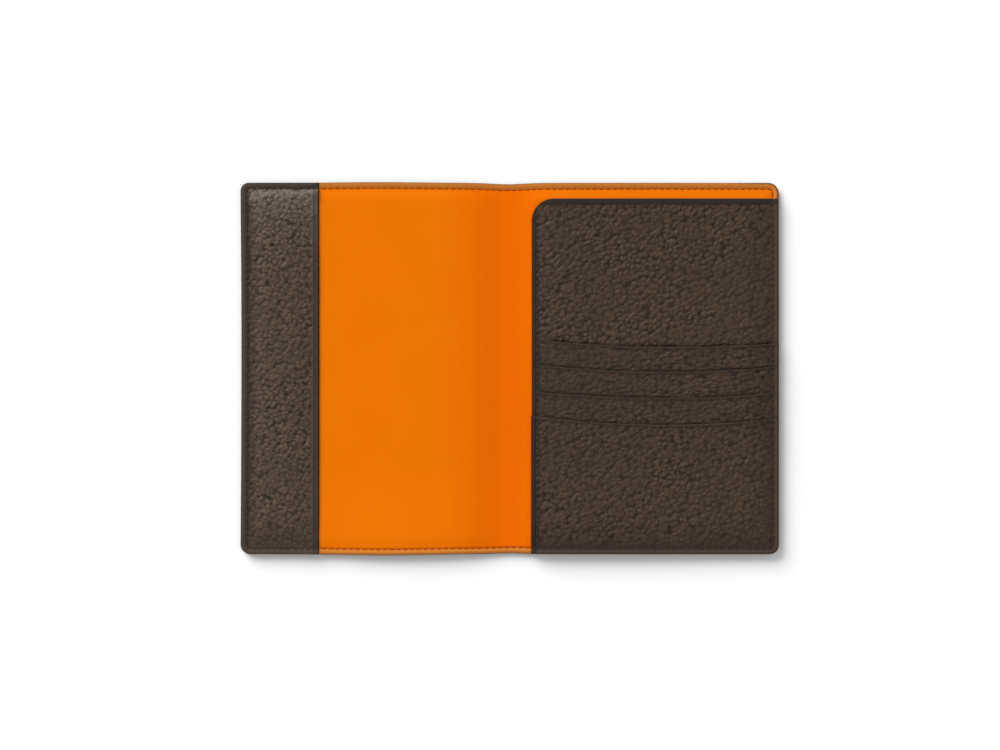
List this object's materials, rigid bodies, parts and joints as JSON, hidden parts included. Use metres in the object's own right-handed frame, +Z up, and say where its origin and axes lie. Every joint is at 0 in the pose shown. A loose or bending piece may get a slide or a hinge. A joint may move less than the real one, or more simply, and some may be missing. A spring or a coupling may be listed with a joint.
{
  "type": "passport holder",
  "caption": "Soft leather passport holder that folds shut like a book, with a cover flap, a passport sleeve and curved, shingled card slots.",
  "frame": {"origin": "middle of the open holder's plan, on its underside", "axes": "+X from the front cover with the flap to the back cover with the card slots, +Y up the page, +Z up out of the lining"},
  "size_m": [0.202, 0.14, 0.0067],
  "materials": {
    "brown_leather": "satin",
    "orange_lining": "satin",
    "backing_leather": "matte",
    "stiffener_board": "matte",
    "tongue_fabric": "matte",
    "dark_thread": "satin",
    "orange_thread": "satin"
  },
  "bodies": {
    "back_cover": {"outer_leather_back": "brown_leather", "outside_thread_back": "dark_thread", "stiffener_back": "stiffener_board", "lining_back": "orange_lining", "lining_thread_back": "orange_thread", "pocket_panel": "brown_leather", "pocket_backing": "backing_leather", "card_slot_1_lip": "brown_leather", "card_slot_2_lip": "brown_leather", "card_slot_3_lip": "brown_leather", "card_slot_4_front": "brown_leather", "card_slot_1_tongue": "tongue_fabric", "card_slot_2_tongue": "tongue_fabric", "card_slot_3_tongue": "tongue_fabric", "pocket_seam_thread": "dark_thread", "pocket_edge_thread": "dark_thread"},
    "spine": {"outer_leather_spine": "brown_leather", "outside_thread_spine": "dark_thread", "lining_spine": "orange_lining", "lining_thread_spine": "orange_thread"},
    "front_cover": {"outer_leather_front": "brown_leather", "outside_thread_front": "dark_thread", "stiffener_front": "stiffener_board", "lining_front": "orange_lining", "lining_thread_front": "orange_thread", "flap_leather": "brown_leather", "flap_backing": "backing_leather", "flap_thread": "dark_thread"}
  },
  "joints": [
    {"name": "spine_fold", "type": "hinge", "parent": "back_cover", "child": "spine", "pos_m": [0.006, 0, 0.0016], "axis": [0, 1, 0], "range_deg": [0, 90]},
    {"name": "front_fold", "type": "hinge", "parent": "spine", "child": "front_cover", "pos_m": [-0.006, 0, 0.0016], "axis": [0, 1, 0], "range_deg": [0, 90]}
  ]
}
